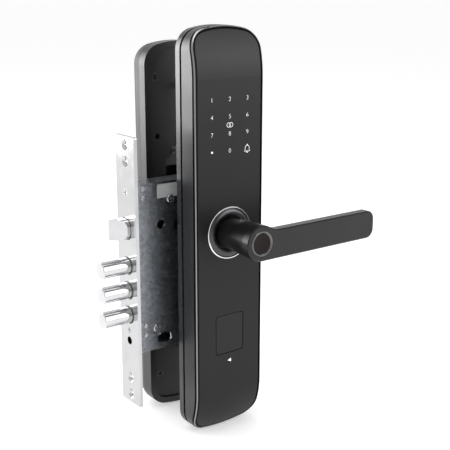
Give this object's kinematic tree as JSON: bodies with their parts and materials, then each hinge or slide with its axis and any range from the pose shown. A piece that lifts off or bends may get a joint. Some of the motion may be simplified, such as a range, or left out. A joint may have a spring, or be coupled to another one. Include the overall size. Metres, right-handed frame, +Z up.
{
  "type": "keypad smart door lock",
  "caption": "Door lock with an outside keypad unit, fingerprint lever handles, a mortise case with latch and round bolts, and an inside unit.",
  "frame": {"origin": "on the spindle axis, in the plane of the door's outside face, which is the back face of the outside unit", "axes": "+Z up along the units, +Y through the door into the room, -X towards the door's free edge and the forend"},
  "size_m": [0.2266, 0.1919, 0.357],
  "materials": {
    "cast_black": "satin powder coat",
    "flange_black": "smooth satin coat",
    "face_black": "satin tempered sheet",
    "bright_trim": "polished plating",
    "soft_black": "matt",
    "moulded_black": "fine moulded texture",
    "satin_grey": "satin plating",
    "polished_steel": "polished stainless",
    "galvanised": "zinc coated sheet",
    "plated_steel": "bright zinc plating",
    "spring_steel": "drawn wire",
    "yellow_brass": "turned",
    "board_green": "solder mask",
    "sensor_dark": "glossy coating",
    "cell_wrap": "printed sleeve",
    "label_paper": "blank",
    "plate_black": "satin coat",
    "cable_grey": "flat cable jacket"
  },
  "bodies": {
    "lock": {"outside_back_plate": "flange_black", "outside_seal": "soft_black", "outside_housing": "cast_black", "face_gasket": "soft_black", "face_rim": "bright_trim", "face_plate": "face_black", "touch_board": "board_green", "control_board": "board_green", "rose": "satin_grey", "rose_ring": "bright_trim", "outside_bearing": "moulded_black", "outside_return_spring": "spring_steel", "clutch_module": "moulded_black", "key_well": "moulded_black", "key_cover_pin": "spring_steel", "cylinder_body": "yellow_brass", "fixing_posts": "plated_steel", "through_bolts": "plated_steel", "forend": "polished_steel", "forend_screws": "plated_steel", "forend_blocks": "plated_steel", "case_tray": "galvanised", "case_cover": "galvanised", "case_screws": "plated_steel", "case_rivets": "plated_steel", "case_label": "label_paper", "latch_spring": "spring_steel", "stop_pin": "plated_steel", "inside_housing": "cast_black", "mounting_plate": "plate_black", "plate_screws": "plated_steel", "inside_board": "board_green", "battery_holder": "moulded_black", "batteries": "cell_wrap", "battery_contacts": "plated_steel", "link_cable": "cable_grey", "inside_rose": "satin_grey", "inside_bearing": "moulded_black"},
    "outside_handle": {"outside_lever": "cast_black", "sensor_ring": "bright_trim", "fingerprint_sensor": "sensor_dark", "sensor_board": "board_green", "outside_circlip": "spring_steel"},
    "inside_handle": {"inside_lever": "cast_black", "spindle": "plated_steel", "follower": "plated_steel", "inside_circlip": "spring_steel"},
    "latch": {"latch_bolt": "polished_steel"},
    "deadbolts": {"deadbolt_top": "polished_steel", "deadbolt_middle": "polished_steel", "deadbolt_bottom": "polished_steel", "bolt_carriage": "galvanised"},
    "key_flap": {"key_cover": "face_black"},
    "key_plug": {"cylinder_plug": "yellow_brass", "key_tail": "plated_steel"},
    "battery_lid": {"battery_cover": "moulded_black"},
    "thumb_knob": {"thumb_turn": "cast_black", "thumb_spindle": "plated_steel"}
  },
  "joints": [
    {"name": "outside_lever_turn", "type": "hinge", "parent": "lock", "child": "outside_handle", "pos_m": [0, -0.04, 0], "axis": [0, 1, 0], "range_deg": [0, 45], "stiffness_Nm_per_rad": 1.2, "springref_deg": -28.65, "deforming": ["outside_return_spring"]},
    {"name": "inside_lever_turn", "type": "hinge", "parent": "lock", "child": "inside_handle", "pos_m": [0, 0.09, 0], "axis": [0, 1, 0], "range_deg": [0, 45], "stiffness_Nm_per_rad": 1.2, "springref_deg": -28.65},
    {"name": "latch_slide", "type": "slide", "parent": "lock", "child": "latch", "axis": [1, 0, 0], "range_m": [0, 0.014], "deforming": ["latch_spring"]},
    {"name": "deadbolt_slide", "type": "slide", "parent": "lock", "child": "deadbolts", "axis": [1, 0, 0], "range_m": [0, 0.027]},
    {"name": "key_cover_swing", "type": "hinge", "parent": "lock", "child": "key_flap", "pos_m": [-0.01, -0.0245, -0.0916], "axis": [0, 0, -1], "range_deg": [0, 95], "stiffness_Nm_per_rad": 0.01, "springref_deg": -17.19},
    {"name": "key_plug_turn", "type": "hinge", "parent": "lock", "child": "key_plug", "pos_m": [0, -0.008, -0.0916], "axis": [0, 1, 0], "range_deg": [0, 90]},
    {"name": "battery_cover_slide", "type": "slide", "parent": "lock", "child": "battery_lid", "axis": [0, 0, 1], "range_m": [0, 0.11]},
    {"name": "thumb_turn_rotate", "type": "hinge", "parent": "lock", "child": "thumb_knob", "pos_m": [0, 0.07, -0.062], "axis": [0, 1, 0], "range_deg": [0, 90]}
  ],
  "couplings": [
    {"joint": "latch_slide", "follows": "inside_lever_turn", "m_per_rad": 0.017825},
    {"joint": "deadbolt_slide", "follows": "inside_lever_turn", "m_per_rad": 0.034377}
  ]
}
